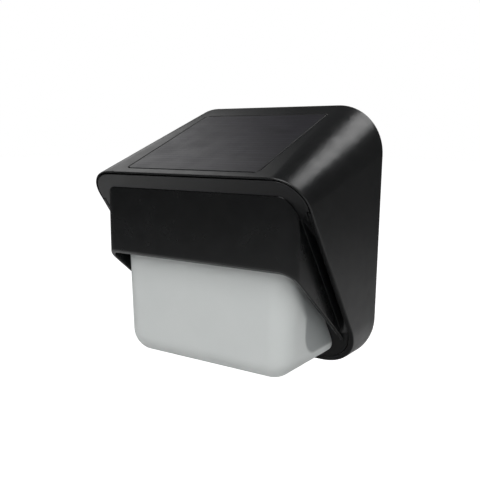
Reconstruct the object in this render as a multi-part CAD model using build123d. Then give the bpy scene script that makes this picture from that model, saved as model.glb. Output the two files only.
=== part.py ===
from build123d import *
import os
from math import atan2, cos, hypot, sin, tan

os.makedirs("parts", exist_ok=True)

# Solar fence light: a wedge-shaped hood that hooks onto a small wall bracket.
# Millimetres, +Z up. The wall is the plane y = 0 and the lamp stands out towards -Y.
# The origin lies on the wall, midway between the bracket's two screw holes.
# A name ending in _up is a height above the lamp's lowest edge, and one ending in
# _depth or _out is a distance out from the wall.

# ---------------------------------------------------------------- driving sizes

# Hood
hood_height = 118.6
hood_half_low = 54.4
hood_flare = 2.0
hood_half_high = hood_half_low + hood_flare
hood_depth = 72.8
front_narrowing = 0.9
front_edge_up = 89.15
foot_depth = 9.76
top_corner_wall = 22.0
top_corner_front = 13.0
low_corner = 22.0
hood_wall = 2.3
roof_wall = 3.4
lip_wall = 1.0
lip_round = 0.7
mount_up = 76.0

# How far the front pieces stand in from the hood's side
visor_inset = 5.3
lug_inset = 11.4
lens_inset = 11.8
visor_half = hood_half_low - visor_inset
lug_half = hood_half_low - lug_inset
lens_half = hood_half_low - lens_inset

# Clearances
fit_gap = 0.25
loose_gap = 0.3
pin_gap = 0.05
screw_gap = 0.05

# Solar panel on the roof
roof_long = hypot(hood_depth, hood_height - front_edge_up)
panel_side = 22.8
panel_first = 11.4
panel_last = 5.0
panel_width = 2 * (hood_half_high - panel_side)
panel_length = roof_long - panel_first - panel_last
panel_thick = 1.6
panel_corner = 2.0
panel_gap = 0.35
pad_thick = 0.4
pad_band = 6.0
pad_inset = 0.5
lead_hole = 3.0
lead_inset = 9.0

# Front bezel in the hood's slanted mouth
plate_wall = 2.2
brow_thick = 2.5
brow_tall = 12.95
brow_end_up = front_edge_up - brow_tall
slot_below_brow = 2.9
slot_high_up = brow_end_up - slot_below_brow
slot_low_up = 19.2
slot_deep = 8.0
slot_floor = 1.6
lug_low_up = 24.5
lug_high_up = 68.5
lug_width = 8.0
lug_thick = 2.5
bezel_boss_radius = 2.8
bezel_boss_long = 4.8

# Visor round the front of the diffuser
visor_out = 68.1
visor_corner = 6.6
visor_wall = 2.0
visor_low_up = 53.5
wing_end_up = 14.5
peg_width = 6.0
peg_thick = 1.2
peg_reach = 3.6
peg_low_up = 30.0
peg_high_up = 55.0

# Diffuser
lens_out = 62.2
lens_draft = 0.033
lens_low_up = 5.3
lens_below_brow = 6.2
lens_high_up = brow_end_up - lens_below_brow
lens_corner = 10.5
lens_front_round = 9.0
lens_wall = 2.0
lens_seal_thick = 0.4

# Light housing inside the diffuser
box_gap = 0.6
box_wall = 1.4
box_half = lens_half - lens_wall - box_gap
box_low_up = 12.9
box_below_lens = 5.0
box_high_up = lens_high_up - box_below_lens
box_low_out = 41.6
box_knee_out = 43.3
box_knee_up = 32.3
box_high_out = 59.0
box_high_knee_up = 51.0
box_low_round = 9.0
box_boss_radius = 2.6
box_boss_inset = 3.2
box_boss_half = box_half - box_wall - box_boss_inset
box_boss_long = 3.6
box_boss_spacing = 32.0

# Light engine on the housing's floor
board_side_gap = 1.7
board_width = 2 * (box_boss_half - box_boss_radius - board_side_gap)
board_length = 44.0
board_thick = 1.2
board_centre_up = 39.0
board_stand = 1.0
board_hole_inset = 3.0
board_stand_radius = 2.2
reflector_thick = 0.8
led_columns = 3
led_rows = 2
led_pitch_x = 18.0
led_pitch_y = 20.0
led_width = 3.5
led_length = 2.8
led_thick = 1.4
led_window = 4.6
led_lead_up = 47.0

# Back cover
cover_out = 1.0
cover_thick = 2.2
ledge_width = 2.6
ledge_thick = 1.5
seal_thick = 0.5
cover_screw_high_up = 92.0
cover_screw_low_up = 26.0
cover_screw_inset = 6.7
cover_screw_half = hood_half_low - cover_screw_inset
cover_boss_radius = 3.2
cover_boss_long = 8.0
cover_boss_floor = 1.0

# Small self-tapping screws used throughout
screw_radius = 1.1
screw_head = 2.2
screw_head_thick = 1.4
screw_pass = 1.4
screw_sink = 2.5
driver_width = 0.7
driver_long = 2.8
driver_deep = 0.6
cover_screw_long = 9.0
bezel_screw_long = 9.0
box_screw_long = 7.5
board_screw_long = 4.9
control_screw_long = 6.0
tray_screw_long = 5.5

# Wall bracket and the pocket that takes it
bracket_width = 60.0
bracket_low = -8.0
bracket_high = 16.0
bracket_thick = 2.2
bracket_corner = 4.0
wall_hole_spacing = 40.0
wall_hole_radius = 2.1
hook_width = 24.0
hook_low = 2.0
hook_seat = 8.0
hook_tip = 15.0
hook_lip = 2.0
bar_thick = 1.6
bar_tall = 4.0
lift_travel = 8.0
pocket_margin = 1.2
pocket_out = 9.0
pocket_wall = 1.6

# Battery and its compartment
cell_radius = 7.25
cell_long = 49.2
cell_nub_radius = 2.75
cell_nub_long = 1.3
cell_centre_up = 44.5
tray_wall = 1.4
tray_room = 57.0
tray_slack = 0.25
tray_ear_long = 6.4
tray_ear_width = 7.0
tray_ear_thick = 2.0
contact_thick = 0.4
contact_width = 9.0
leaf_width = 6.0
contact_tab = 3.0
contact_tab_long = 3.0
contact_tab_inset = 3.0
door_width = 61.4
door_margin = 1.4
door_notch = 9.0
door_notch_deep = 1.1
door_seal_thick = 0.5
hinge_pin_radius = 0.7
hinge_pin_long = 1.6

# Switch
switch_inset = 11.0
switch_drop = 6.0
switch_side = hood_half_low - switch_inset
switch_up = mount_up - switch_drop
switch_width = 8.5
switch_long = 7.0
switch_floor = 0.8
button_radius = 3.0
button_stem = 1.7
button_stem_long = 6.1
button_cap = 1.6
button_recess = 0.4
button_travel = 1.5
switch_seal_thick = 0.6
switch_seal_band = 0.9
switch_mouth = 1.2

# Control board
control_width = 46.0
control_length = 28.0
control_thick = 1.6
control_out = 14.6
control_hole_inset = 3.2
stand_radius = 2.6
chip_width = 8.0
chip_length = 6.0
chip_thick = 1.5
coil_radius = 3.0
coil_long = 4.0
capacitor_radius = 2.5
capacitor_long = 6.0
chip_place = (-9.0, 2.0)
coil_place = (9.0, -4.0)
capacitor_place = (9.0, 7.0)

# Leads, inside the lamp
lead_radius = 0.6
lead_pitch = 1.6
lead_bend = 3.0
lead_clear = 8.0
led_pad_rise = 0.0
panel_pad_rise = 8.0
battery_pad_side = 18.0
battery_pad_drop = 8.0
switch_pad_side = 19.0
switch_pad_rise = 4.0

# ---------------------------------------------------------------- derived frame

top_slope = atan2(hood_height - front_edge_up, hood_depth)
rim_lean = atan2(hood_depth - foot_depth, front_edge_up)
side_flare = (hood_half_high - hood_half_low) / hood_height
overrun = 5.0
reach = 200.0
through = 4
floor_z = -mount_up

rim_frame = Plane(
    origin=(0, -foot_depth, floor_z),
    x_dir=(1, 0, 0),
    z_dir=(0, -cos(rim_lean), -sin(rim_lean)),
)
roof_frame = Plane(
    origin=(0, 0, floor_z + hood_height),
    x_dir=(1, 0, 0),
    z_dir=(0, -sin(top_slope), cos(top_slope)),
)


def along_rim(up):
    """Distance up the slanted mouth for a height above the lamp's lowest edge."""
    return up / cos(rim_lean)


def half_width(up, depth):
    """Half the hood's outer width at a height and a distance from the wall."""
    return hood_half_low + up * side_flare - front_narrowing * depth / hood_depth


def wall_slab(near, far):
    """Endless block between two distances out from the wall."""
    return Pos(0, -far, 0) * Box(
        2 * reach, far - near, 2 * reach, align=(Align.CENTER, Align.MIN, Align.CENTER)
    )


def level_slab(low_up, high_up):
    """Endless block between two heights."""
    return Pos(0, 0, floor_z + low_up) * Box(
        2 * reach, 2 * reach, high_up - low_up, align=(Align.CENTER, Align.CENTER, Align.MIN)
    )


def rim_slab(back, front, low=-reach, high=reach):
    """Block between two levels along the mouth's normal and two distances up its slope."""
    block = Box(2 * reach, high - low, front - back, align=(Align.CENTER, Align.MIN, Align.MIN))
    return rim_frame * (Pos(0, low, back) * block)


def side_slab(inner, outer):
    """Two endless blocks, one each side, between two distances from the middle plane."""
    one = Box(outer - inner, 2 * reach, 2 * reach, align=(Align.MIN, Align.CENTER, Align.CENTER))
    right = Pos(inner, 0, 0) * one
    return right + mirror(right, Plane.YZ)


def rod(radius, near, far, x, up):
    """Round bar square to the wall between two distances out from it."""
    bar = Cylinder(radius, far - near, align=(Align.CENTER, Align.CENTER, Align.MIN))
    return out_from_wall(x, near, up) * bar


def out_from_wall(x, out, up):
    """Place whose own Z axis points out of the wall."""
    return Location(Plane(origin=(x, -out, floor_z + up), x_dir=(1, 0, 0), z_dir=(0, -1, 0)))


def into_wall(x, out, up):
    """Place whose own Z axis points into the wall."""
    return Location(Plane(origin=(x, -out, floor_z + up), x_dir=(1, 0, 0), z_dir=(0, 1, 0)))


def on_rim(x, along, level):
    """Place on the slanted mouth: sideways, up its slope and out along its normal."""
    return Location(rim_frame) * Pos(x, along, level)


def peg(radius, long):
    """Cylinder standing on its place."""
    return Cylinder(radius, long, align=(Align.CENTER, Align.CENTER, Align.MIN))


def screw(long):
    """Pan-head screw with a cross recess, pointing along its own Z axis."""
    body = peg(screw_head, screw_head_thick) + peg(screw_radius, long)
    blade = Box(driver_long, driver_width, 2 * driver_deep)
    return body - blade - Rot(0, 0, 90) * blade


# ---------------------------------------------------------------- hood


def hood_section(depth, inset, roof_inset):
    """Hood outline at one distance from the wall, drawn in from the outside."""
    low = inset
    high = hood_height - depth * tan(top_slope) - roof_inset / cos(top_slope)
    corners = [
        (side * (half_width(up, depth) - inset), floor_z + up)
        for side, up in ((-1, low), (1, low), (1, high), (-1, high))
    ]
    shrink = (top_corner_wall - top_corner_front) * depth / hood_depth
    outline = make_face(Polyline(*corners, close=True))
    upper = outline.vertices().group_by(Axis.Y)[-1]
    outline = fillet(upper, top_corner_wall - shrink - inset)
    lower = outline.vertices().group_by(Axis.Y)[0]
    outline = fillet(lower, low_corner - inset)
    return Plane.XZ.offset(depth) * outline


def hood_solid(inset, roof_inset, start=0.0):
    """Full wedge of the hood, drawn in from the outside, running past its mouth."""
    back = hood_section(start, inset, roof_inset)
    front = hood_section(hood_depth + overrun, inset, roof_inset)
    return loft([back, front], ruled=True)


cover_back = cover_out + cover_thick
ledge_out = cover_back + seal_thick
seam_lip = lip_wall + fit_gap
lug_level = plate_wall + bezel_boss_long


def make_hood():
    """Moulded shell, open at the wall and at its slanted mouth."""
    shell = hood_solid(0, 0) - rim_slab(0, reach)
    outer_rim = shell.faces().filter_by(lambda face: abs(face.normal_at().Y + cos(rim_lean)) < 0.01)
    shell = fillet(outer_rim.edges(), lip_round)
    shell -= hood_solid(hood_wall, roof_wall, -overrun)
    brow_room = hood_solid(lip_wall, lip_wall, -overrun)
    shell -= brow_room & rim_slab(-brow_thick - fit_gap, reach, along_rim(brow_end_up) - fit_gap)
    return shell


def add_hood_insides(shell):
    """Ledge for the back cover, screw bosses and the panel's seat."""
    ledge = hood_solid(hood_wall, roof_wall)
    ledge -= hood_solid(hood_wall + ledge_width, roof_wall + ledge_width, -overrun)
    shell += ledge & wall_slab(ledge_out, ledge_out + ledge_thick)
    for side in (-1, 1):
        for up in (cover_screw_low_up, cover_screw_high_up):
            boss_end = ledge_out + cover_boss_long
            boss = rod(cover_boss_radius, ledge_out, boss_end, side * cover_screw_half, up)
            web_outer = half_width(up, boss_end) - hood_wall / 2
            web = Pos(side * (cover_screw_half + web_outer) / 2, 0, floor_z + up) * Box(
                web_outer - cover_screw_half, 2 * reach, hood_wall
            )
            shell += boss + (web & wall_slab(ledge_out, boss_end))
            bore_end = boss_end - cover_boss_floor
            shell -= rod(screw_radius + screw_gap, 0, bore_end, side * cover_screw_half, up)
    inner = hood_solid(hood_wall / 2, roof_wall / 2, -overrun)
    for side in (-1, 1):
        for up in (lug_low_up, lug_high_up):
            lug = Box(reach, lug_width, lug_thick, align=(Align.MIN, Align.CENTER, Align.MAX))
            lug = Pos(bezel_boss_radius - lug_half, 0, 0) * mirror(lug, Plane.YZ)
            lug = lug if side < 0 else mirror(lug, Plane.YZ)
            lug = on_rim(0, along_rim(up), -lug_level) * lug
            shell += lug & inner
            shell -= on_rim(side * lug_half, along_rim(up), -lug_level) * Cylinder(
                screw_pass, through * lug_thick
            )
    return shell


def on_roof(x, down, level):
    """Place on the roof: sideways, down the slope from the wall, and above its surface."""
    return Location(roof_frame) * Pos(x, -down, level)


panel_mid = panel_first + panel_length / 2
panel_level = -(pad_thick + panel_thick)


def roof_plate(width, length, thick, corner, level):
    """Rounded rectangular plate centred on the solar panel's place."""
    sheet = extrude(RectangleRounded(width, length, corner), thick)
    return on_roof(0, panel_mid, level) * sheet


hood_shell = make_hood()
hood_shell = add_hood_insides(hood_shell)
hood_shell -= roof_plate(
    panel_width + 2 * panel_gap,
    panel_length + 2 * panel_gap,
    roof_wall,
    panel_corner + panel_gap,
    panel_level,
)
lead_down = panel_first + lead_inset
hood_shell -= on_roof(0, lead_down, 0) * Cylinder(lead_hole, through * roof_wall)

solar_panel = roof_plate(panel_width, panel_length, panel_thick, panel_corner, -panel_thick)
panel_pad = roof_plate(
    panel_width - 2 * pad_inset,
    panel_length - 2 * pad_inset,
    pad_thick,
    panel_corner,
    panel_level,
)
panel_pad -= roof_plate(
    panel_width - 2 * pad_band,
    panel_length - 2 * pad_band,
    panel_thick,
    panel_corner,
    panel_level - pad_thick,
)

# ---------------------------------------------------------------- bezel

slot_half_chord = (along_rim(slot_high_up) - along_rim(slot_low_up)) / 2
slot_radius = (slot_half_chord**2 + slot_deep**2) / (2 * slot_deep)
slot_middle = (along_rim(slot_high_up) + along_rim(slot_low_up)) / 2


def slot_drum(extra):
    """Round bar across the lamp whose underside is the floor of both side slots."""
    drum = Rot(0, 90, 0) * Cylinder(slot_radius + extra, 2 * reach)
    return rim_frame * (Pos(0, slot_middle, slot_radius - slot_deep) * drum)


def make_bezel():
    """Slanted front plate with a brow that covers the roof's front edge."""
    inside = hood_solid(hood_wall + fit_gap, roof_wall + fit_gap, -overrun)
    plate = inside & rim_slab(-plate_wall, 0)
    brow = hood_solid(seam_lip, seam_lip, -overrun)
    plate += brow & rim_slab(-brow_thick, 0, along_rim(brow_end_up))
    dish = inside & slot_drum(slot_floor) & side_slab(visor_half - slot_floor, reach)
    plate += dish & rim_slab(-reach, 0)
    plate -= slot_drum(0) & side_slab(visor_half, reach)
    for side in (-1, 1):
        for up in (lug_low_up, lug_high_up):
            foot = on_rim(side * lug_half, along_rim(up), -lug_level)
            plate += foot * peg(bezel_boss_radius, bezel_boss_long)
            plate -= foot * peg(screw_radius + screw_gap, bezel_boss_long + plate_wall / 2)
    for x, along in box_boss_places():
        plate -= on_rim(x, along, 0) * Cylinder(screw_pass, through * plate_wall)
    plate -= on_rim(0, along_rim(led_lead_up), 0) * Cylinder(lead_hole, through * plate_wall)
    return plate - visor_pegs(pin_gap)


def box_boss_places():
    """Sideways and up-slope places of the four screws that hold the light housing."""
    middle = along_rim(board_centre_up)
    return [
        (side * box_boss_half, middle + end * box_boss_spacing / 2)
        for side in (-1, 1)
        for end in (-1, 1)
    ]


def visor_pegs(extra):
    """Pegs under each wing that key the visor into the bezel."""
    pegs = Part()
    for up in (peg_low_up, peg_high_up):
        for side in (-1, 1):
            one = Box(
                peg_thick + 2 * extra,
                peg_width + 2 * extra,
                peg_reach + extra,
                align=(Align.CENTER, Align.CENTER, Align.MAX),
            )
            x = side * (visor_half - visor_wall / 2)
            pegs += on_rim(x, along_rim(up), 0) * one
    return pegs


front_bezel = make_bezel()

# ---------------------------------------------------------------- visor


def visor_prism(inset):
    """Upright block with rounded front corners, open towards the wall."""
    sheet = Rectangle(2 * (visor_half - inset), visor_out + reach - inset)
    sheet = Pos(0, (reach - visor_out + inset) / 2) * sheet
    front_corners = sheet.vertices().group_by(Axis.Y)[0]
    sheet = fillet(front_corners, visor_corner - inset)
    return Pos(0, 0, -reach) * extrude(sheet, 2 * reach)


def visor_side():
    """Everything above the sloping cut that ends the visor's front and wings."""
    wing_end_out = foot_depth + wing_end_up * tan(rim_lean)
    rise = (visor_low_up - wing_end_up) / (visor_out - wing_end_out)
    far = visor_out + overrun
    start = (-far, visor_low_up + overrun * rise)
    end = (0, wing_end_up - wing_end_out * rise)
    side = make_face(Polyline(start, end, (0, hood_height), (-far, hood_height), close=True))
    return Pos(-reach, 0, floor_z) * extrude(Plane.YZ * side, 2 * reach)


def make_visor():
    """U-shaped hood in front of the diffuser, standing on the bezel."""
    shell = (visor_prism(0) - visor_prism(visor_wall)) & visor_side()
    shell &= rim_slab(0, reach)
    return shell + visor_pegs(0)


visor = make_visor()

# ---------------------------------------------------------------- diffuser


def lens_face(inset):
    """Front view of the diffuser, drawn in by inset."""
    low = floor_z + lens_low_up + inset
    high = floor_z + lens_high_up - inset
    half = lens_half - inset
    wide = half + lens_draft * (high - low)
    face = make_face(Polyline((-half, low), (half, low), (wide, high), (-wide, high), close=True))
    return fillet(face.vertices(), lens_corner - inset)


def lens_corners(inset):
    """Endless bar with the diffuser's front view."""
    return extrude(Plane.XZ * lens_face(inset), reach, both=True)


def lens_block(inset, base):
    """Diffuser's outside, drawn in by inset, from its base level on the bezel."""
    long = lens_out - inset + overrun
    block = extrude(Plane.XZ.offset(-overrun) * lens_face(inset), long)
    front = block.faces().sort_by(Axis.Y)[0]
    block = fillet(front.edges(), lens_front_round - inset)
    return block & rim_slab(base, reach)


diffuser = lens_block(0, lens_seal_thick) - lens_block(lens_wall, -overrun)

lens_seal = lens_block(0, 0) - lens_block(lens_wall, -overrun)
lens_seal &= rim_slab(0, lens_seal_thick)

# ---------------------------------------------------------------- light housing and LEDs


def box_profile():
    """Side view of the light housing: rounded low corner and a mouth that leans forward."""
    low = floor_z + box_low_up
    high = floor_z + box_high_up
    knee = (-box_knee_out, floor_z + box_knee_up)
    shoulder = (-box_high_out, floor_z + box_high_knee_up)
    corner = (-box_low_out, low)
    side = Polyline((0, low), corner, knee, shoulder, (-box_high_out, high), (0, high), close=True)
    face = make_face(side)
    low_front = face.vertices().sort_by_distance((*corner, 0))[0]
    return fillet(low_front, box_low_round)


board_level = box_wall + board_stand
board_front = board_level + board_thick
board_along = along_rim(board_centre_up)


def board_corners(width, length, inset):
    """Four corner places of a board, from its middle."""
    return [
        (x * (width / 2 - inset), y * (length / 2 - inset)) for x in (-1, 1) for y in (-1, 1)
    ]


def make_light_box():
    """Open-fronted housing that stands on the bezel inside the diffuser."""
    solid = extrude(Plane.YZ * box_profile(), box_half, both=True)
    solid &= lens_block(lens_wall + box_gap, 0)
    room = level_slab(box_low_up + box_wall, box_high_up - box_wall)
    room &= lens_corners(lens_wall + box_gap + box_wall)
    box = solid - (room & rim_slab(box_wall, reach))
    for x, along in box_boss_places():
        box += on_rim(x, along, box_wall) * peg(box_boss_radius, box_boss_long)
        box -= on_rim(x, along, 0) * peg(screw_radius + screw_gap, box_boss_long + box_wall / 2)
    for x, y in board_corners(board_width, board_length, board_hole_inset):
        box += on_rim(x, board_along + y, box_wall) * peg(board_stand_radius, board_stand)
        box -= on_rim(x, board_along + y, box_wall / 2) * peg(screw_radius + screw_gap, reach)
    return box - on_rim(0, along_rim(led_lead_up), 0) * Cylinder(lead_hole, through * box_wall)


def rim_board(thick, level):
    """Flat board over the light housing's floor with its four screw holes."""
    sheet = Box(board_width, board_length, thick, align=(Align.CENTER, Align.CENTER, Align.MIN))
    for x, y in board_corners(board_width, board_length, board_hole_inset):
        sheet -= Pos(x, y, 0) * Cylinder(screw_pass, through * thick)
    return on_rim(0, board_along, level) * sheet


def led_places():
    """Grid of LED places from the middle of their board."""
    return [
        ((column - (led_columns - 1) / 2) * led_pitch_x, (row - (led_rows - 1) / 2) * led_pitch_y)
        for column in range(led_columns)
        for row in range(led_rows)
    ]


light_box = make_light_box()
led_board = rim_board(board_thick, board_level)
reflector = rim_board(reflector_thick, board_front)
leds = Part()
for x, y in led_places():
    place = on_rim(x, board_along + y, board_front)
    reflector -= place * Box(led_window, led_window, through * reflector_thick)
    leds += place * Box(
        led_width, led_length, led_thick, align=(Align.CENTER, Align.CENTER, Align.MIN)
    )

# ---------------------------------------------------------------- back cover

pocket_half = bracket_width / 2 + pocket_margin
pocket_low = bracket_low - lift_travel - pocket_margin
pocket_high = bracket_high + pocket_margin
pocket_back = pocket_out + pocket_wall
bar_out = bracket_thick + loose_gap
hook_lip_out = bar_out + bar_thick + loose_gap
tray_out = cover_back + loose_gap + door_seal_thick
tray_half_tall = cell_radius + tray_slack + tray_wall
tray_half_long = tray_room / 2 + tray_wall
tray_ear_end = tray_half_long + tray_ear_long
tray_screw_half = tray_ear_end - tray_ear_width / 2 + tray_wall / 2
cell_out = tray_out + tray_slack + cell_radius
tray_front = cell_out + cell_radius + tray_slack + tray_wall
cell_start = tray_room / 2 - contact_thick - cell_nub_long - cell_long
door_low_up = cell_centre_up - tray_half_tall - door_margin
door_high_up = cell_centre_up + tray_half_tall + door_margin
hinge_radius = cover_thick / 2
hinge_out = cover_out + hinge_radius
hinge_up = door_low_up + hinge_radius
cover_screw_places = [
    (side * cover_screw_half, up)
    for side in (-1, 1)
    for up in (cover_screw_low_up, cover_screw_high_up)
]
control_centre_up = mount_up + (pocket_low + pocket_high) / 2
control_corners = [
    (x, control_centre_up + y)
    for x, y in board_corners(control_width, control_length, control_hole_inset)
]


def block(low_x, high_x, near, far, low_up, high_up):
    """Box between two places across, two distances from the wall and two heights."""
    size = (high_x - low_x, far - near, high_up - low_up)
    corner = Pos(low_x, -far, floor_z + low_up)
    return corner * Box(*size, align=(Align.MIN, Align.MIN, Align.MIN))


def hinge_bar(radius, half):
    """Round bar along the battery door's hinge line."""
    return Pos(0, -hinge_out, floor_z + hinge_up) * (Rot(0, 90, 0) * Cylinder(radius, 2 * half))


def make_back_cover():
    """Flat cover with a pocket and cross bar for the bracket and an opening for the battery."""
    cover = hood_solid(hood_wall + fit_gap, roof_wall + fit_gap, -overrun)
    cover &= wall_slab(cover_out, cover_back)
    low_up = mount_up + pocket_low
    high_up = mount_up + pocket_high
    outer = pocket_half + pocket_wall
    cover += block(
        -outer, outer, cover_out, pocket_back, low_up - pocket_wall, high_up + pocket_wall
    )
    cover -= block(-pocket_half, pocket_half, -overrun, pocket_out, low_up, high_up)
    bar_up = mount_up + hook_seat
    cover += block(-outer, outer, bar_out, bar_out + bar_thick, bar_up, bar_up + bar_tall)
    for x, up in control_corners:
        cover += rod(stand_radius, pocket_back, control_out, x, up)
        cover -= rod(screw_radius + screw_gap, pocket_back, reach, x, up)
    door_half = door_width / 2 + loose_gap
    cover -= block(
        -door_half,
        door_half,
        -overrun,
        cover_back + overrun,
        door_low_up - loose_gap,
        door_high_up + loose_gap,
    )
    cover -= hinge_bar(hinge_pin_radius + pin_gap, door_half + hinge_pin_long)
    for side in (-1, 1):
        inner = side * tray_screw_half - tray_ear_width / 2
        pad_low = cell_centre_up - tray_ear_width / 2
        cover += block(
            inner, inner + tray_ear_width, cover_back, tray_out, pad_low, pad_low + tray_ear_width
        )
        cover -= rod(
            screw_radius + screw_gap, cover_out + driver_deep, reach, side * tray_screw_half,
            cell_centre_up,
        )
    for x, up in cover_screw_places:
        cover -= rod(screw_pass, 0, reach, x, up)
        cover -= rod(screw_sink, 0, cover_out + screw_head_thick, x, up)
    return cover - rod(button_radius + loose_gap, 0, reach, switch_side, switch_up)


back_cover = make_back_cover()

cover_seal = hood_solid(hood_wall + fit_gap, roof_wall + fit_gap)
cover_seal -= hood_solid(hood_wall + ledge_width, roof_wall + ledge_width, -overrun)
cover_seal &= wall_slab(cover_back, ledge_out)

# ---------------------------------------------------------------- battery compartment


def make_tray():
    """Open box for one cell, screwed to the back cover by an ear at each end."""
    low = cell_centre_up - tray_half_tall
    high = cell_centre_up + tray_half_tall
    tray = block(-tray_half_long, tray_half_long, tray_out, tray_front, low, high)
    half = tray_room / 2
    tray -= block(-half, half, 0, tray_front - tray_wall, low + tray_wall, high - tray_wall)
    for side in (-1, 1):
        ear_low = cell_centre_up - tray_ear_width / 2
        ends = sorted((side * (tray_half_long - tray_wall / 2), side * tray_ear_end))
        ear = block(
            *ends, tray_out, tray_out + tray_ear_thick, ear_low, ear_low + tray_ear_width
        )
        tray += ear - rod(screw_pass, 0, reach, side * tray_screw_half, cell_centre_up)
        tray -= contact_tab_bar(side, pin_gap)
    return tray


def contact_tab_bar(side, extra):
    """Solder tab of a battery contact, through the tray's end wall."""
    ends = sorted((side * (tray_room / 2 - contact_thick), side * (tray_half_long + contact_tab_long)))
    middle = tray_front - tray_wall - contact_tab_inset
    return block(
        ends[0],
        ends[1],
        middle - contact_thick / 2 - extra,
        middle + contact_thick / 2 + extra,
        cell_centre_up - contact_tab / 2 - extra,
        cell_centre_up + contact_tab / 2 + extra,
    )


def contact_plate(side):
    """Flat metal plate against the tray's end wall with its solder tab."""
    half = contact_width / 2
    ends = sorted((side * tray_room / 2, side * (tray_room / 2 - contact_thick)))
    plate = block(
        *ends,
        cell_out - half,
        cell_out + tray_half_tall - tray_wall,
        cell_centre_up - half,
        cell_centre_up + half,
    )
    return plate + contact_tab_bar(side, 0)


def make_cell():
    """Round cell with its positive nub towards +X."""
    can = Pos(cell_start, 0, 0) * (Rot(0, 90, 0) * peg(cell_radius, cell_long))
    nub = Pos(cell_start, 0, 0) * (Rot(0, 90, 0) * peg(cell_nub_radius, cell_long + cell_nub_long))
    return Pos(0, -cell_out, floor_z + cell_centre_up) * (can + nub)


def make_spring_contact():
    """Negative contact: a plate with a bent leaf that presses on the cell's flat end."""
    plate_x = -tray_room / 2 + contact_thick / 2
    crest = cell_start - contact_thick / 2
    quarter = contact_width / 2 - contact_thick
    middle = floor_z + cell_centre_up
    leaf = trace(
        Polyline(
            (plate_x, middle - quarter),
            (crest, middle - contact_thick),
            (crest, middle + contact_thick),
            (plate_x / 2 + crest / 2, middle + quarter),
        ),
        contact_thick,
    )
    strip = extrude(Plane.XZ.offset(cell_out) * leaf, leaf_width / 2, both=True)
    return contact_plate(-1) + strip


battery_tray = make_tray()
battery_cell = make_cell()
positive_contact = contact_plate(1)
spring_contact = make_spring_contact()

door_seal = block(
    -tray_half_long,
    tray_half_long,
    tray_out - door_seal_thick,
    tray_out,
    cell_centre_up - tray_half_tall,
    cell_centre_up + tray_half_tall,
)
door_seal -= block(
    -tray_room / 2,
    tray_room / 2,
    0,
    tray_out,
    cell_centre_up - tray_half_tall + tray_wall,
    cell_centre_up + tray_half_tall - tray_wall,
)

door_half = door_width / 2
battery_door = block(-door_half, door_half, cover_out, cover_back, hinge_up, door_high_up)
battery_door += hinge_bar(hinge_radius, door_half)
battery_door += hinge_bar(hinge_pin_radius, door_half + hinge_pin_long)
battery_door -= rod(door_notch, 0, cover_out + door_notch_deep, 0, door_high_up)

# ---------------------------------------------------------------- switch

switch_out = cover_back + switch_seal_thick
switch_back = switch_out + switch_long
button_out = cover_out + button_recess
switch_half = switch_width / 2

switch_body = block(
    switch_side - switch_half,
    switch_side + switch_half,
    switch_out,
    switch_back,
    switch_up - switch_half,
    switch_up + switch_half,
)
button_bore = button_radius + loose_gap
switch_body -= rod(button_bore, 0, switch_out + switch_mouth, switch_side, switch_up)
stem_bore = button_stem + loose_gap
switch_body -= rod(stem_bore, 0, switch_back - switch_floor, switch_side, switch_up)

switch_seal = rod(button_bore + switch_seal_band, cover_back, switch_out, switch_side, switch_up)
switch_seal -= rod(button_bore, 0, reach, switch_side, switch_up)

switch_button = rod(button_radius, button_out, button_out + button_cap, switch_side, switch_up)
switch_button += rod(
    button_stem, button_out, button_out + button_stem_long, switch_side, switch_up
)

# ---------------------------------------------------------------- control board

control_front = control_out + control_thick
control_board = block(
    -control_width / 2,
    control_width / 2,
    control_out,
    control_front,
    control_centre_up - control_length / 2,
    control_centre_up + control_length / 2,
)
for x, up in control_corners:
    control_board -= rod(screw_pass, 0, reach, x, up)


def on_control(place, rise=0.0):
    """Place on the control board's front face, given from its middle."""
    return out_from_wall(place[0], control_front + rise, control_centre_up + place[1])


driver_chip = on_control(chip_place) * Box(
    chip_width, chip_length, chip_thick, align=(Align.CENTER, Align.CENTER, Align.MIN)
)
charge_coil = on_control(coil_place) * peg(coil_radius, coil_long)
storage_capacitor = on_control(capacitor_place) * peg(capacitor_radius, capacitor_long)

# ---------------------------------------------------------------- leads

lead_out = control_front + lead_clear


def lead(points):
    """Round insulated lead through the given corners, with equal bends."""
    path = FilletPolyline(*points, radius=lead_bend)
    start = Plane(origin=path @ 0, z_dir=path % 0)
    return sweep(start * Circle(lead_radius), path=path)


def at(x, out, up):
    """Point in the lamp: across, out from the wall and above its lowest edge."""
    return Vector(x, -out, floor_z + up)


def spot(place):
    """Point where a place lies."""
    return Vector(*place.position)


def to_board(x, rise):
    """Last two corners of a lead that meets the control board square to its face."""
    up = control_centre_up + rise
    return [at(x, lead_out, up), at(x, control_front, up)]


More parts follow.
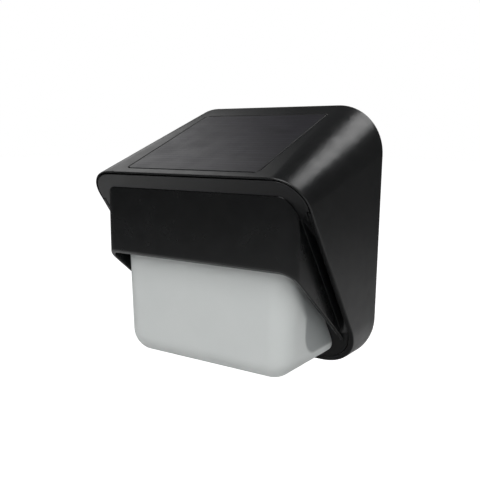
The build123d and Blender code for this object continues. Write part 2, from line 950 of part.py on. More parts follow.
panel_leads = Part()
led_leads = Part()
battery_leads = Part()
switch_leads = Part()
for side in (-1, 1):
    x = side * lead_pitch / 2
    above = panel_pad_rise + lead_clear
    panel_leads += lead(
        [
            spot(on_roof(x, lead_down, -panel_thick)),
            spot(on_roof(x, lead_down, -panel_thick - lead_clear)),
            at(x, lead_out, control_centre_up + above),
            *to_board(x, panel_pad_rise),
        ]
    )
    led_along = along_rim(led_lead_up)
    led_leads += lead(
        [
            spot(on_rim(x, led_along, board_level)),
            spot(on_rim(x, led_along, -lead_clear)),
            *to_board(x, led_pad_rise),
        ]
    )
    tab_side = side * (tray_half_long + contact_tab_long / 2)
    tab_out = tray_front - tray_wall - contact_tab_inset + contact_thick / 2
    battery_leads += lead(
        [
            at(tab_side, tab_out, cell_centre_up),
            at(tab_side, lead_out, cell_centre_up),
            at(tab_side, lead_out, control_centre_up - battery_pad_drop),
            *to_board(side * battery_pad_side, -battery_pad_drop),
        ]
    )
    shift = side * lead_pitch / 2
    rise = switch_pad_rise + shift
    switch_leads += lead(
        [
            at(switch_side + shift, switch_back, switch_up + shift),
            at(switch_side + shift, lead_out, switch_up + shift),
            at(switch_side + shift, lead_out, control_centre_up + rise),
            *to_board(switch_pad_side + shift, rise),
        ]
    )

# ---------------------------------------------------------------- wall bracket


def make_bracket():
    """Plate with two screw holes and an upturned hook."""
    tall = bracket_high - bracket_low
    plate = extrude(RectangleRounded(bracket_width, tall, bracket_corner), bracket_thick)
    plate = out_from_wall(0, 0, mount_up + bracket_low + tall / 2) * plate
    half = hook_width / 2
    plate += block(
        -half, half, bracket_thick, hook_lip_out, mount_up + hook_low, mount_up + hook_seat
    )
    plate += block(
        -half,
        half,
        hook_lip_out,
        hook_lip_out + hook_lip,
        mount_up + hook_low,
        mount_up + hook_tip,
    )
    for side in (-1, 1):
        plate -= rod(wall_hole_radius, 0, reach, side * wall_hole_spacing / 2, mount_up)
    return plate


wall_bracket = make_bracket()

# ---------------------------------------------------------------- screws

cover_screws = Part()
for x, up in cover_screw_places:
    cover_screws += out_from_wall(x, cover_out, up) * screw(cover_screw_long)

bezel_screws = Part()
for side in (-1, 1):
    for up in (lug_low_up, lug_high_up):
        level = -lug_level - lug_thick - screw_head_thick
        place = on_rim(side * lug_half, along_rim(up), level)
        bezel_screws += place * screw(bezel_screw_long)

housing_screws = Part()
for x, along in box_boss_places():
    place = on_rim(x, along, -plate_wall - screw_head_thick)
    housing_screws += place * screw(box_screw_long)

led_board_screws = Part()
for x, y in board_corners(board_width, board_length, board_hole_inset):
    place = on_rim(x, board_along + y, board_front + reflector_thick + screw_head_thick)
    led_board_screws += place * Rot(180, 0, 0) * screw(board_screw_long)

control_screws = Part()
for x, up in control_corners:
    place = into_wall(x, control_front + screw_head_thick, up)
    control_screws += place * screw(control_screw_long)

tray_screws = Part()
for side in (-1, 1):
    place = into_wall(
        side * tray_screw_half, tray_out + tray_ear_thick + screw_head_thick, cell_centre_up
    )
    tray_screws += place * screw(tray_screw_long)

# ---------------------------------------------------------------- write

pieces = {
    "hood_shell": hood_shell,
    "solar_panel": solar_panel,
    "panel_pad": panel_pad,
    "front_bezel": front_bezel,
    "visor": visor,
    "diffuser": diffuser,
    "lens_seal": lens_seal,
    "light_housing": light_box,
    "led_board": led_board,
    "leds": leds,
    "reflector": reflector,
    "back_cover": back_cover,
    "cover_seal": cover_seal,
    "battery_tray": battery_tray,
    "battery_cell": battery_cell,
    "positive_contact": positive_contact,
    "spring_contact": spring_contact,
    "battery_door": battery_door,
    "door_seal": door_seal,
    "switch_body": switch_body,
    "switch_seal": switch_seal,
    "switch_button": switch_button,
    "control_board": control_board,
    "driver_chip": driver_chip,
    "charge_coil": charge_coil,
    "storage_capacitor": storage_capacitor,
    "panel_leads": panel_leads,
    "led_leads": led_leads,
    "battery_leads": battery_leads,
    "switch_leads": switch_leads,
    "wall_bracket": wall_bracket,
    "cover_screws": cover_screws,
    "bezel_screws": bezel_screws,
    "housing_screws": housing_screws,
    "led_board_screws": led_board_screws,
    "control_screws": control_screws,
    "tray_screws": tray_screws,
}

for node, shape in pieces.items():
    export_step(shape, f"parts/{node}.step")
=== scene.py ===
from math import atan2, cos, pi, radians, sin, tan
import bmesh
import bpy
from mathutils import Matrix, Vector


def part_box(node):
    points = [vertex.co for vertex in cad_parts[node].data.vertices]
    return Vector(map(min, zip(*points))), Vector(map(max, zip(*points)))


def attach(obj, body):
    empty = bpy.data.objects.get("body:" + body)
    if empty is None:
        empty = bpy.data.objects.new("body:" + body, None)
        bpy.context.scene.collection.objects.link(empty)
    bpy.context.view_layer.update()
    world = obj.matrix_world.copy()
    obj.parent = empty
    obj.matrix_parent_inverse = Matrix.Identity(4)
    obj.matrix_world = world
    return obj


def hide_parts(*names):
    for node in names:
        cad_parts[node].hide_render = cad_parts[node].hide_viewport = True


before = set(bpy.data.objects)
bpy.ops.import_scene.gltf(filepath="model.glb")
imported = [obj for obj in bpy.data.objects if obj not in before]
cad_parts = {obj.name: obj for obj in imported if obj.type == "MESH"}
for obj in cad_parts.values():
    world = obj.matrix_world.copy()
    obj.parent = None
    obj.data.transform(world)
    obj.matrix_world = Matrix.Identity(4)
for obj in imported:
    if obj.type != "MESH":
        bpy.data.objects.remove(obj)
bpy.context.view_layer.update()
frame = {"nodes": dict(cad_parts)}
nodes = frame["nodes"]

# ---------------------------------------------------------------- hood
# The hood is the lamp's outer shell, injection moulded in one piece from black ABS. Its
# tool was left with a fine spark grain, so it looks satin and a little uneven, and every
# edge has a small radius from the tool.

# The real spark grain is a few hundredths of a millimetre. It is drawn at 0.7 mm, so that
# it shows.
hood_grain = 0.0007
hood_edge = 0.0005
hood_ease = 0.0004
cloud_size = 0.022
wipe_size = 0.007
edge_samples = 6
steepest_smooth = 46
eased_above = 35
weld = 0.000001


def linear(code):
    """An sRGB hex colour as the linear RGBA that a node takes."""
    parts = [int(code[i:i + 2], 16) / 255 for i in (0, 2, 4)]
    curve = [p / 12.92 if p <= 0.04045 else ((p + 0.055) / 1.055) ** 2.4 for p in parts]
    return (*curve, 1.0)


def add_node(tree, kind, settings, links):
    """One node of a material: its own settings and input values, then what feeds its inputs."""
    node = tree.nodes.new("ShaderNode" + kind)
    for key, value in settings.items():
        if isinstance(key, str) and hasattr(node, key):
            setattr(node, key, value)
        else:
            node.inputs[key].default_value = value
    for key, source in links.items():
        tree.links.new(source, node.inputs[key])
    return node


def start_finish(name):
    """An empty material, its tree, and the object's own coordinates in it."""
    material = bpy.data.materials.new(name)
    material.use_nodes = True
    tree = material.node_tree
    tree.nodes.clear()
    place = add_node(tree, "TexCoord", {}, {}).outputs["Object"]
    return material, tree, place


def close_finish(tree, shader):
    """Joins a finished shader to the material's output."""
    add_node(tree, "OutputMaterial", {}, {"Surface": shader.outputs[0]})


def moulded(name, deep, pale, rough, grain, edge, ior=1.54, depth=0.00002, colour=None):
    """Moulded plastic or rubber: cloudy colour, uneven gloss, tool grain and soft edges."""
    material, tree, place = start_finish(name)
    cloud = add_node(tree, "TexNoise", {"Scale": 1 / cloud_size, "Detail": 3.0}, {"Vector": place})
    spread = add_node(tree, "MapRange", {1: 0.3, 2: 0.7}, {0: cloud.outputs["Fac"]})
    tint = add_node(
        tree,
        "Mix",
        {"data_type": "RGBA", 6: linear(deep), 7: linear(pale)},
        {0: spread.outputs[0]},
    )
    wipe = add_node(tree, "TexNoise", {"Scale": 1 / wipe_size, "Detail": 2.0}, {"Vector": place})
    gloss = add_node(
        tree,
        "MapRange",
        {1: 0.35, 2: 0.65, 3: rough - 0.025, 4: rough + 0.035},
        {0: wipe.outputs["Fac"]},
    )
    spark = add_node(
        tree, "TexNoise", {"Scale": 1 / grain, "Detail": 3.0, "Roughness": 0.6}, {"Vector": place}
    )
    rounded = add_node(tree, "Bevel", {"samples": edge_samples, "Radius": edge}, {})
    bump = add_node(
        tree,
        "Bump",
        {"Strength": 0.35, "Distance": depth},
        {"Height": spark.outputs["Fac"], "Normal": rounded.outputs[0]},
    )
    base = tint.outputs[2] if colour is None else colour(tree, place, tint.outputs[2])
    shader = add_node(
        tree,
        "BsdfPrincipled",
        {"IOR": ior},
        {
            "Base Color": base,
            "Roughness": gloss.outputs[0],
            "Normal": bump.outputs[0],
        },
    )
    close_finish(tree, shader)
    return material


def dress(material, *names):
    """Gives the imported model's nodes a finish."""
    for name in names:
        for place in nodes[name].material_slots:
            place.material = material


def eased_copy(name, new_name, size):
    """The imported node's own shape with every outer edge rounded over, standing for the node."""
    shape = bmesh.new()
    shape.from_mesh(nodes[name].data)
    bmesh.ops.remove_doubles(shape, verts=shape.verts, dist=weld)
    least = radians(eased_above)
    corners = [
        edge for edge in shape.edges if edge.is_convex and edge.calc_face_angle(0) > least
    ]
    bmesh.ops.bevel(
        shape,
        geom=corners,
        offset=size,
        offset_type="OFFSET",
        segments=3,
        profile=0.5,
        affect="EDGES",
        material=-1,
    )
    mesh = bpy.data.meshes.new(new_name)
    shape.to_mesh(mesh)
    shape.free()
    mesh.shade_smooth()
    mesh.set_sharp_from_angle(angle=radians(steepest_smooth))
    piece = bpy.data.objects.new(new_name, mesh)
    bpy.context.scene.collection.objects.link(piece)
    even = piece.modifiers.new("even_normals", "WEIGHTED_NORMAL")
    even.keep_sharp = True
    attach(piece, "lamp")
    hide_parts(name)
    nodes[new_name] = piece
    return piece


black_abs = moulded(
    "moulded_black_abs", "0d0e0f", "111213", rough=0.3, grain=hood_grain, edge=hood_edge
)
hood = eased_copy("hood_shell", "hood_moulding", hood_ease)
hood.data.materials.append(black_abs)

# ---------------------------------------------------------------- solar panel
# A wafer of crystalline silicon laminated under a clear film, glued on a foam pad into a
# recess in the hood's roof. Silver fingers are printed across it, so it shows faint level
# lines in a dark violet-grey, and the cut edge of the film catches the light.

panel_width = 0.0672
panel_length = 0.0621
panel_edge = 0.00025
film_margin = 0.0012
roof_drop = 0.02945
roof_run = 0.0728
roof_slope = atan2(roof_drop, roof_run)
finger_pitch = 0.0022
finger_share = 0.2
streak_long = 0.03
streak_wide = 0.003
wafer_size = 0.018
film_size = 0.009

panel_low, panel_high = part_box("solar_panel")
panel = eased_copy("solar_panel", "panel_laminate", panel_edge)

solar_cell, tree, place = start_finish("laminated_silicon")
level = add_node(
    tree,
    "Mapping",
    {
        "vector_type": "TEXTURE",
        "Location": (panel_low + panel_high) / 2,
        "Rotation": (roof_slope, 0, 0),
    },
    {"Vector": place},
)
axes = add_node(tree, "SeparateXYZ", {}, {0: level.outputs[0]})
step = add_node(tree, "Math", {"operation": "DIVIDE", 1: finger_pitch}, {0: axes.outputs["Y"]})
part = add_node(tree, "Math", {"operation": "PINGPONG", 1: 0.5}, {0: step.outputs[0]})
finger = add_node(
    tree,
    "MapRange",
    {"interpolation_type": "SMOOTHSTEP", 1: 0.0, 2: finger_share, 3: 1.0, 4: 0.0},
    {0: part.outputs[0]},
)
streak = add_node(
    tree,
    "Mapping",
    {"Scale": (1 / streak_long, 1 / streak_wide, 1.0)},
    {"Vector": level.outputs[0]},
)
worn = add_node(tree, "TexNoise", {"Scale": 1.0, "Detail": 2.0}, {"Vector": streak.outputs[0]})
showing = add_node(tree, "MapRange", {1: 0.38, 2: 0.66, 3: 0.1}, {0: worn.outputs["Fac"]})
printed = add_node(
    tree, "Math", {"operation": "MULTIPLY"}, {0: finger.outputs[0], 1: showing.outputs[0]}
)
wafer = add_node(tree, "TexNoise", {"Scale": 1 / wafer_size, "Detail": 2.0}, {"Vector": place})
silicon = add_node(
    tree,
    "Mix",
    {"data_type": "RGBA", 6: linear("111114"), 7: linear("1c1a21")},
    {0: wafer.outputs["Fac"]},
)
lined = add_node(
    tree,
    "Mix",
    {"data_type": "RGBA", 7: linear("3b3a41")},
    {0: printed.outputs[0], 6: silicon.outputs[2]},
)
across = add_node(tree, "Math", {"operation": "ABSOLUTE"}, {0: axes.outputs["X"]})
along = add_node(tree, "Math", {"operation": "ABSOLUTE"}, {0: axes.outputs["Y"]})
past_side = add_node(
    tree,
    "Math",
    {"operation": "GREATER_THAN", 1: panel_width / 2 - film_margin},
    {0: across.outputs[0]},
)
past_end = add_node(
    tree,
    "Math",
    {"operation": "GREATER_THAN", 1: panel_length / 2 - film_margin},
    {0: along.outputs[0]},
)
margin = add_node(
    tree, "Math", {"operation": "MAXIMUM"}, {0: past_side.outputs[0], 1: past_end.outputs[0]}
)
face = add_node(
    tree,
    "Mix",
    {"data_type": "RGBA", 7: linear("1d1d1f")},
    {0: margin.outputs[0], 6: lined.outputs[2]},
)
film = add_node(tree, "TexNoise", {"Scale": 1 / film_size, "Detail": 2.0}, {"Vector": place})
gloss = add_node(tree, "MapRange", {1: 0.3, 2: 0.7, 3: 0.33, 4: 0.4}, {0: film.outputs["Fac"]})
shader = add_node(
    tree,
    "BsdfPrincipled",
    {"IOR": 1.5},
    {"Base Color": face.outputs[2], "Roughness": gloss.outputs[0]},
)
close_finish(tree, shader)
panel.data.materials.append(solar_cell)

# ---------------------------------------------------------------- panel pad
# A frame of closed-cell foam tape, die cut, that sticks the panel into its recess. Its
# cells leave it dull and rough.

foam = moulded(
    "closed_cell_foam", "202122", "2c2d2e", rough=0.85, grain=0.0006, edge=0.0002, depth=0.0001
)
dress(foam, "panel_pad")

# ---------------------------------------------------------------- front bezel
# The slanted front plate is a second black ABS moulding with the brow along its top and a
# dished slot at each side. It is screwed from behind to the hood's lugs, and has the
# hood's grain.

bezel_ease = 0.0003
bezel = eased_copy("front_bezel", "bezel_moulding", bezel_ease)
bezel.data.materials.append(black_abs)

# ---------------------------------------------------------------- visor
# The U-shaped visor is black ABS from a smoother tool. It stands upright on the bezel and
# is keyed into it by pegs under its wings.

visor_ease = 0.0005
visor_abs = moulded("smooth_black_abs", "0d0e0e", "101112", rough=0.24, grain=0.0005, edge=0.0006)
visor = eased_copy("visor", "visor_moulding", visor_ease)
visor.data.materials.append(visor_abs)

# ---------------------------------------------------------------- diffuser
# A thin moulded tub of frosted white polycarbonate over the light housing. The darker patch on its
# sides is painted shade, where the grey housing stands behind the wall and the visor's wing shades
# it from above. Low down the painted shade reaches 2 to 4 mm further forward than the housing's
# own edge.

lamp_floor = -0.076
# The outline of the painted shade on the diffuser's sides, in metres.
painted_shade_low = lamp_floor + 0.013
painted_shade_round = 0.0095
painted_shade_front = 0.0456
painted_shade_knee = lamp_floor + 0.03
painted_shade_lean = 0.6
painted_shade_reach = 0.059
blur_starts = painted_shade_knee - 0.004
blur_ends = painted_shade_knee + 0.014
blur_sharp = 0.0009
blur_soft = 0.005
haze_size = 0.02
# The real etching is finer than 0.1 mm. It is drawn at 0.6 mm, so that it shows.
etch_size = 0.0006
diffuser_edge = 0.0005
scatter_depth = 0.004

frosted, tree, place = start_finish("frosted_polycarbonate")
axes = add_node(tree, "SeparateXYZ", {}, {0: place})
depth = add_node(tree, "Math", {"operation": "MULTIPLY", 1: -1.0}, {0: axes.outputs["Y"]})
climb = add_node(
    tree, "Math", {"operation": "SUBTRACT", 1: painted_shade_knee}, {0: axes.outputs["Z"]}
)
lean = add_node(
    tree,
    "Math",
    {"operation": "MULTIPLY_ADD", 1: painted_shade_lean, 2: painted_shade_front},
    {0: climb.outputs[0]},
)
mouth = add_node(
    tree, "Clamp", {"Min": painted_shade_front, "Max": painted_shade_reach}, {"Value": lean.outputs[0]}
)
beyond = add_node(
    tree, "Math", {"operation": "SUBTRACT"}, {0: depth.outputs[0], 1: mouth.outputs[0]}
)
side_way = add_node(tree, "Math", {"operation": "ADD", 1: painted_shade_round}, {0: beyond.outputs[0]})
side_way = add_node(tree, "Math", {"operation": "MAXIMUM", 1: 0.0}, {0: side_way.outputs[0]})
down_way = add_node(
    tree, "Math", {"operation": "SUBTRACT", 0: painted_shade_low + painted_shade_round}, {1: axes.outputs["Z"]}
)
down_way = add_node(tree, "Math", {"operation": "MAXIMUM", 1: 0.0}, {0: down_way.outputs[0]})
away = add_node(tree, "CombineXYZ", {}, {"X": side_way.outputs[0], "Y": down_way.outputs[0]})
away = add_node(tree, "VectorMath", {"operation": "LENGTH"}, {0: away.outputs[0]})
away = add_node(
    tree, "Math", {"operation": "SUBTRACT", 1: painted_shade_round}, {0: away.outputs["Value"]}
)
blur = add_node(
    tree,
    "MapRange",
    {1: blur_starts, 2: blur_ends, 3: blur_sharp, 4: blur_soft},
    {0: axes.outputs["Z"]},
)
ratio = add_node(tree, "Math", {"operation": "DIVIDE"}, {0: away.outputs[0], 1: blur.outputs[0]})
# Painted shade: 1 inside that outline on the side walls, with a sharp edge low down and a softer
# one higher up.
painted_shade_mask = add_node(
    tree,
    "MapRange",
    {"interpolation_type": "SMOOTHSTEP", 1: -1.0, 2: 1.0, 3: 1.0, 4: 0.0},
    {0: ratio.outputs[0]},
)
haze = add_node(tree, "TexNoise", {"Scale": 1 / haze_size, "Detail": 2.0}, {"Vector": place})
milk = add_node(
    tree,
    "Mix",
    {"data_type": "RGBA", 6: linear("c6cac9"), 7: linear("cdd0cf")},
    {0: haze.outputs["Fac"]},
)
# The milk colour turns grey where the painted shade falls.
body = add_node(
    tree,
    "Mix",
    {"data_type": "RGBA", 7: linear("8d9191")},
    {0: painted_shade_mask.outputs[0], 6: milk.outputs[2]},
)
etch = add_node(tree, "TexNoise", {"Scale": 1 / etch_size, "Detail": 2.0}, {"Vector": place})
frosting = add_node(
    tree, "MapRange", {1: 0.3, 2: 0.7, 3: 0.42, 4: 0.52}, {0: haze.outputs["Fac"]}
)
rounded = add_node(tree, "Bevel", {"samples": edge_samples, "Radius": diffuser_edge}, {})
bump = add_node(
    tree,
    "Bump",
    {"Strength": 0.3, "Distance": 0.00002},
    {"Height": etch.outputs["Fac"], "Normal": rounded.outputs[0]},
)
shader = add_node(
    tree,
    "BsdfPrincipled",
    {
        "IOR": 1.58,
        "Subsurface Weight": 0.25,
        "Subsurface Radius": (scatter_depth, scatter_depth, scatter_depth),
        "Subsurface Scale": 1.0,
    },
    {"Base Color": body.outputs[2], "Roughness": frosting.outputs[0], "Normal": bump.outputs[0]},
)
close_finish(tree, shader)
dress(frosted, "diffuser")

# ---------------------------------------------------------------- seals
# Thin silicone rubber gaskets keep the rain out, under the diffuser, the back cover, the
# battery door and the button. They are die cut or moulded and have a dull skin.

seal_rubber = moulded(
    "silicone_rubber", "1c1c1d", "242425", rough=0.62, grain=0.0008, edge=0.0002, ior=1.43
)
dress(seal_rubber, "lens_seal", "cover_seal", "door_seal", "switch_seal")

# ---------------------------------------------------------------- light housing
# Inside the diffuser an open-fronted housing, moulded in grey ABS and screwed to the bezel
# from behind, holds the LED board and the reflector.

grey_abs = moulded("moulded_grey_abs", "828583", "8c8f8d", rough=0.5, grain=0.0007, edge=0.0003)
dress(grey_abs, "light_housing")

# ---------------------------------------------------------------- circuit boards
# The LED board and the control board are glass epoxy under green solder mask, with copper
# tracks that show through it as paler lines. Both are screwed down.

track_long = 0.006
track_apart = 0.0035
track_wide = 0.00025


def track_colour(tree, place, base):
    """Solder mask over copper tracks: paler lines on a square lay-out."""
    lay_out = add_node(
        tree,
        "TexBrick",
        {
            "offset": 0.5,
            "Color1": linear("0f4a2c"),
            "Color2": linear("145636"),
            "Mortar": linear("2b7a4b"),
            "Scale": 1.0,
            "Mortar Size": track_wide,
            "Brick Width": track_long,
            "Row Height": track_apart,
        },
        {"Vector": place},
    )
    return lay_out.outputs["Color"]


solder_mask = moulded(
    "green_solder_mask",
    "0f4a2c",
    "145636",
    rough=0.3,
    grain=0.0008,
    edge=0.0001,
    colour=track_colour,
)
dress(solder_mask, "led_board", "control_board")

# ---------------------------------------------------------------- LEDs
# Six surface-mounted packages on the LED board. Each is filled with soft silicone that has
# yellow phosphor in it.

package = moulded(
    "led_silicone", "e6cf62", "eeda7a", rough=0.25, grain=0.0004, edge=0.0002, ior=1.43
)
dress(package, "leds")

# ---------------------------------------------------------------- reflector
# A die-cut sheet of white polyester film over the LED board, with a window for each LED.
# It is smooth and a little shiny.

film_white = moulded(
    "white_polyester_film", "e3e3de", "ebebe6", rough=0.28, grain=0.0006, edge=0.0001, ior=1.6
)
dress(film_white, "reflector")

# ---------------------------------------------------------------- back cover
# A flat ABS cover closes the hood from behind, screwed on over its seal, with a pocket for
# the wall bracket. The battery tray, the hinged door and the switch's body are moulded
# like it, from a coarser tool, so all are a little more matt than the hood.

cover_abs = moulded("matt_black_abs", "121314", "17181a", rough=0.46, grain=0.0007, edge=0.0004)
dress(cover_abs, "back_cover", "battery_tray", "battery_door", "switch_body")

# ---------------------------------------------------------------- wall bracket
# The bracket stays on the fence, and the lamp hangs on it. It is moulded from black ABS
# with the cover's finish, rubbed a little shinier where the cover slides over it.

bracket_abs = moulded(
    "rubbed_black_abs", "131415", "191a1c", rough=0.38, grain=0.0007, edge=0.0004
)
dress(bracket_abs, "wall_bracket")

# ---------------------------------------------------------------- switch button
# The push button is dark silicone rubber, with a dry skin.

button_rubber = moulded(
    "dry_silicone_rubber", "323435", "3b3d3e", rough=0.68, grain=0.0006, edge=0.0003, ior=1.43
)
dress(button_rubber, "switch_button")

# ---------------------------------------------------------------- battery
# One rechargeable cell in a heat-shrunk green sleeve, which leaves its nickel-plated ends
# bare. The sleeve is glossy and its film is slightly cloudy.

cell_low, cell_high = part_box("battery_cell")
cell_bare = 0.0022


def sleeve_colour(tree, place, base):
    """Green sleeve along the cell, nickel at its ends."""
    axes = add_node(tree, "SeparateXYZ", {}, {0: place})
    middle = (cell_low.x + cell_high.x) / 2
    half = (cell_high.x - cell_low.x) / 2
    shift = add_node(tree, "Math", {"operation": "SUBTRACT", 1: middle}, {0: axes.outputs["X"]})
    away = add_node(tree, "Math", {"operation": "ABSOLUTE"}, {0: shift.outputs[0]})
    bare = add_node(
        tree, "Math", {"operation": "GREATER_THAN", 1: half - cell_bare}, {0: away.outputs[0]}
    )
    skin = add_node(
        tree,
        "Mix",
        {"data_type": "RGBA", 7: linear("b9b6ad")},
        {0: bare.outputs[0], 6: base},
    )
    return skin.outputs[2]


sleeve = moulded(
    "heat_shrunk_sleeve",
    "1f5c3a",
    "236642",
    rough=0.25,
    grain=0.002,
    edge=0.0002,
    ior=1.53,
    colour=sleeve_colour,
)
dress(sleeve, "battery_cell")

# ---------------------------------------------------------------- contacts and screws
# The battery contacts are nickel-plated spring steel, and the screws are zinc-plated. Both
# are bright, with a fine unevenness from the plating bath.

plating_grain = 0.0005
plating_edge = 0.0001


def plated(name, deep, pale, rough):
    """Plated steel: the moulded finish's cloudiness on a metal."""
    material = moulded(name, deep, pale, rough, grain=plating_grain, edge=plating_edge)
    tree = material.node_tree
    old = tree.nodes["Principled BSDF"]
    metal = add_node(
        tree,
        "BsdfPrincipled",
        {"Metallic": 1.0},
        {
            "Base Color": old.inputs["Base Color"].links[0].from_socket,
            "Roughness": old.inputs["Roughness"].links[0].from_socket,
            "Normal": old.inputs["Normal"].links[0].from_socket,
        },
    )
    tree.nodes.remove(old)
    tree.links.new(metal.outputs[0], tree.nodes["Material Output"].inputs["Surface"])
    return material


nickel = plated("nickel_plated_steel", "b9b6ad", "c4c1b8", 0.24)
dress(nickel, "positive_contact", "spring_contact")
zinc = plated("zinc_plated_steel", "a8aaad", "b6b8bb", 0.3)
dress(zinc, "cover_screws", "bezel_screws", "housing_screws", "led_board_screws")
dress(zinc, "control_screws", "tray_screws")

# ---------------------------------------------------------------- control board's parts
# The driver chip is moulded in black epoxy. The charge coil is enamelled copper wire wound
# on a ferrite drum, and the storage capacitor is an aluminium can.

epoxy = moulded(
    "moulded_epoxy", "161616", "1c1c1c", rough=0.5, grain=0.0004, edge=0.0001, ior=1.55
)
dress(epoxy, "driver_chip")

coil_low, coil_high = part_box("charge_coil")
wire_pitch = 0.0004
drum_flange = 0.0007


def winding_colour(tree, place, base):
    """Copper turns round the drum, dark ferrite at its two ends."""
    axes = add_node(tree, "SeparateXYZ", {}, {0: place})
    step = add_node(tree, "Math", {"operation": "DIVIDE", 1: wire_pitch}, {0: axes.outputs["Y"]})
    turn = add_node(tree, "Math", {"operation": "PINGPONG", 1: 0.5}, {0: step.outputs[0]})
    wound = add_node(
        tree,
        "Mix",
        {"data_type": "RGBA", 6: linear("5c2c14"), 7: linear("b4622f")},
        {0: turn.outputs[0]},
    )
    middle = (coil_low.y + coil_high.y) / 2
    half = (coil_high.y - coil_low.y) / 2
    shift = add_node(tree, "Math", {"operation": "SUBTRACT", 1: middle}, {0: axes.outputs["Y"]})
    away = add_node(tree, "Math", {"operation": "ABSOLUTE"}, {0: shift.outputs[0]})
    flange = add_node(
        tree, "Math", {"operation": "GREATER_THAN", 1: half - drum_flange}, {0: away.outputs[0]}
    )
    drum = add_node(
        tree,
        "Mix",
        {"data_type": "RGBA"},
        {0: flange.outputs[0], 6: wound.outputs[2], 7: base},
    )
    return drum.outputs[2]


winding = moulded(
    "enamelled_copper",
    "252322",
    "2e2c2b",
    rough=0.35,
    grain=0.0004,
    edge=0.0001,
    colour=winding_colour,
)
dress(winding, "charge_coil")
can = plated("drawn_aluminium", "b4b5b7", "c0c1c3", 0.32)
dress(can, "storage_capacitor")

# ---------------------------------------------------------------- leads
# Thin stranded wire in soft extruded PVC, a red and a black lead side by side, soldered at
# both ends. The switch's pair is all black.


def paired_colour(tree, place, base):
    """Red on the left lead of a pair, the base colour on the right one."""
    axes = add_node(tree, "SeparateXYZ", {}, {0: place})
    left = add_node(tree, "Math", {"operation": "LESS_THAN", 1: 0.0}, {0: axes.outputs["X"]})
    pair = add_node(
        tree,
        "Mix",
        {"data_type": "RGBA", 7: linear("9a1a17")},
        {0: left.outputs[0], 6: base},
    )
    return pair.outputs[2]


pair = moulded(
    "red_and_black_pvc",
    "151515",
    "1b1b1b",
    rough=0.35,
    grain=0.0006,
    edge=0.0001,
    colour=paired_colour,
)
dress(pair, "panel_leads", "led_leads", "battery_leads")
black_pvc = moulded("black_pvc", "151515", "1b1b1b", rough=0.35, grain=0.0006, edge=0.0001)
dress(black_pvc, "switch_leads")

# ---------------------------------------------------------------- studio
# A pale table top, an even white surround and four soft boxes: behind the left shoulder, behind
# the right one, high in front, and to the right. Mirrored rays see a dimmer table and surround
# than the camera does, which keeps the black plastic dark. In mirrored rays the table also carries
# a painted pool of light, which fades with distance from the lamp, and a painted shadow right
# under the lamp.

floor_height = -0.19
floor_reach = 6.0
fibre_size = 0.004
mirrored_glow = 0.05
glow_near, glow_far = 0.55, 0.95
glow_starts, glow_ends = 0.25, 1.6
painted_pool_starts, painted_pool_ends = 0.3, 1.15
painted_shadow_starts, painted_shadow_ends = 0.2, 0.32

sweep = bmesh.new()
bmesh.ops.create_grid(
    sweep,
    x_segments=1,
    y_segments=1,
    size=floor_reach,
    matrix=Matrix.Translation((0, 0, floor_height)),
)
floor_mesh = bpy.data.meshes.new("studio_floor")
sweep.to_mesh(floor_mesh)
sweep.free()
floor = bpy.data.objects.new("studio_floor", floor_mesh)
bpy.context.scene.collection.objects.link(floor)

paper, tree, place = start_finish("pale_paper")
path = add_node(tree, "LightPath", {}, {})
shown = add_node(
    tree,
    "Math",
    {"operation": "MAXIMUM"},
    {0: path.outputs["Is Camera Ray"], 1: path.outputs["Is Transmission Ray"]},
)
mirrored = add_node(
    tree,
    "Math",
    {"operation": "MULTIPLY", 1: mirrored_glow},
    {0: path.outputs["Is Glossy Ray"]},
)
away = add_node(tree, "VectorMath", {"operation": "LENGTH"}, {0: place})
fade = add_node(
    tree,
    "MapRange",
    {1: glow_starts, 2: glow_ends, 3: glow_near, 4: glow_far},
    {0: away.outputs["Value"]},
)
lift = add_node(
    tree, "Math", {"operation": "MULTIPLY"}, {0: shown.outputs[0], 1: fade.outputs[0]}
)
glow = add_node(
    tree, "Math", {"operation": "MAXIMUM"}, {0: lift.outputs[0], 1: mirrored.outputs[0]}
)
fibre = add_node(tree, "TexNoise", {"Scale": 1 / fibre_size, "Detail": 2.0}, {"Vector": place})
sheet = add_node(
    tree,
    "Mix",
    {"data_type": "RGBA", 6: linear("eeeeee"), 7: linear("f4f4f4")},
    {0: fibre.outputs["Fac"]},
)
# Painted light for mirrored rays: the table is pale near the lamp and dark farther off.
painted_pool_fade = add_node(tree, "MapRange", {1: painted_pool_starts, 2: painted_pool_ends}, {0: away.outputs["Value"]})
painted_pool_colour = add_node(
    tree,
    "Mix",
    {"data_type": "RGBA", 6: linear("d2d2d2"), 7: linear("404040")},
    {0: painted_pool_fade.outputs[0]},
)
# Painted shadow for mirrored rays: the table is dark grey right under the lamp and clears by 0.32
# m from it.
clear = add_node(tree, "MapRange", {1: painted_shadow_starts, 2: painted_shadow_ends}, {0: away.outputs["Value"]})
painted_shadow_colour = add_node(
    tree,
    "Mix",
    {"data_type": "RGBA", 6: linear("303030")},
    {0: clear.outputs[0], 7: painted_pool_colour.outputs[2]},
)
dim = add_node(
    tree,
    "Mix",
    {"data_type": "RGBA"},
    {0: path.outputs["Is Glossy Ray"], 6: sheet.outputs[2], 7: painted_shadow_colour.outputs[2]},
)
shader = add_node(
    tree,
    "BsdfPrincipled",
    {"Roughness": 0.9, "Emission Color": (1, 1, 1, 1)},
    {"Base Color": dim.outputs[2], "Emission Strength": glow.outputs[0]},
)
close_finish(tree, shader)
floor_mesh.materials.append(paper)

surround_fill = 0.12
surround_mirrored = 0.06

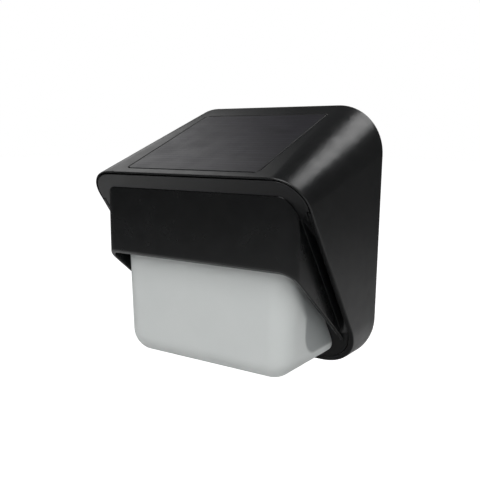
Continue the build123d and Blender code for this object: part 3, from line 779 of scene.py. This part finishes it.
world = bpy.data.worlds.new("studio_surround")
world.use_nodes = True
bpy.context.scene.world = world
tree = world.node_tree
tree.nodes.clear()
path = add_node(tree, "LightPath", {}, {})
shown = add_node(
    tree,
    "Math",
    {"operation": "MAXIMUM"},
    {0: path.outputs["Is Camera Ray"], 1: path.outputs["Is Transmission Ray"]},
)
mirrored = add_node(
    tree,
    "MapRange",
    {3: surround_fill, 4: surround_mirrored},
    {0: path.outputs["Is Glossy Ray"]},
)
strength = add_node(
    tree, "Math", {"operation": "MAXIMUM"}, {0: shown.outputs[0], 1: mirrored.outputs[0]}
)
surround = add_node(
    tree, "Background", {"Color": (1, 1, 1, 1)}, {"Strength": strength.outputs[0]}
)
add_node(tree, "OutputWorld", {}, {"Surface": surround.outputs[0]})


def soft_box(name, bearing, height, distance, size, radiance):
    """Soft box facing the lamp. Bearing, from straight behind, and height are in degrees."""
    lamp = bpy.data.lights.new(name, "AREA")
    lamp.shape = "RECTANGLE"
    lamp.size, lamp.size_y = size
    lamp.energy = radiance * pi * size[0] * size[1]
    holder = bpy.data.objects.new(name, lamp)
    bpy.context.scene.collection.objects.link(holder)
    turn = radians(bearing)
    way = Vector((sin(turn), cos(turn), tan(radians(height)))).normalized()
    holder.location = way * distance
    holder.rotation_euler = way.to_track_quat("Z", "Y").to_euler()


soft_box(
    "back_left_box", bearing=-70, height=33, distance=1.2, size=(0.8, 0.8), radiance=0.85
)
soft_box(
    "back_right_box", bearing=25, height=47, distance=1.2, size=(0.6, 0.42), radiance=2.7
)
soft_box(
    "front_box", bearing=172, height=46, distance=1.4, size=(1.2, 1.2), radiance=3.4
)
soft_box(
    "right_box", bearing=98, height=44, distance=1.4, size=(1.0, 1.0), radiance=2.0
)

camera_place = (0.16821, -0.27787, 0.02777)
camera_way = Vector((-0.5555, 0.8171, -0.1542))

camera = bpy.data.cameras.new("camera")
camera.sensor_width = 36.0
camera.lens = 49.1
camera_holder = bpy.data.objects.new("camera", camera)
bpy.context.scene.collection.objects.link(camera_holder)
camera_holder.location = camera_place
camera_holder.rotation_euler = camera_way.to_track_quat("-Z", "Y").to_euler()
bpy.context.scene.camera = camera_holder
bpy.context.scene.view_settings.view_transform = "Standard"
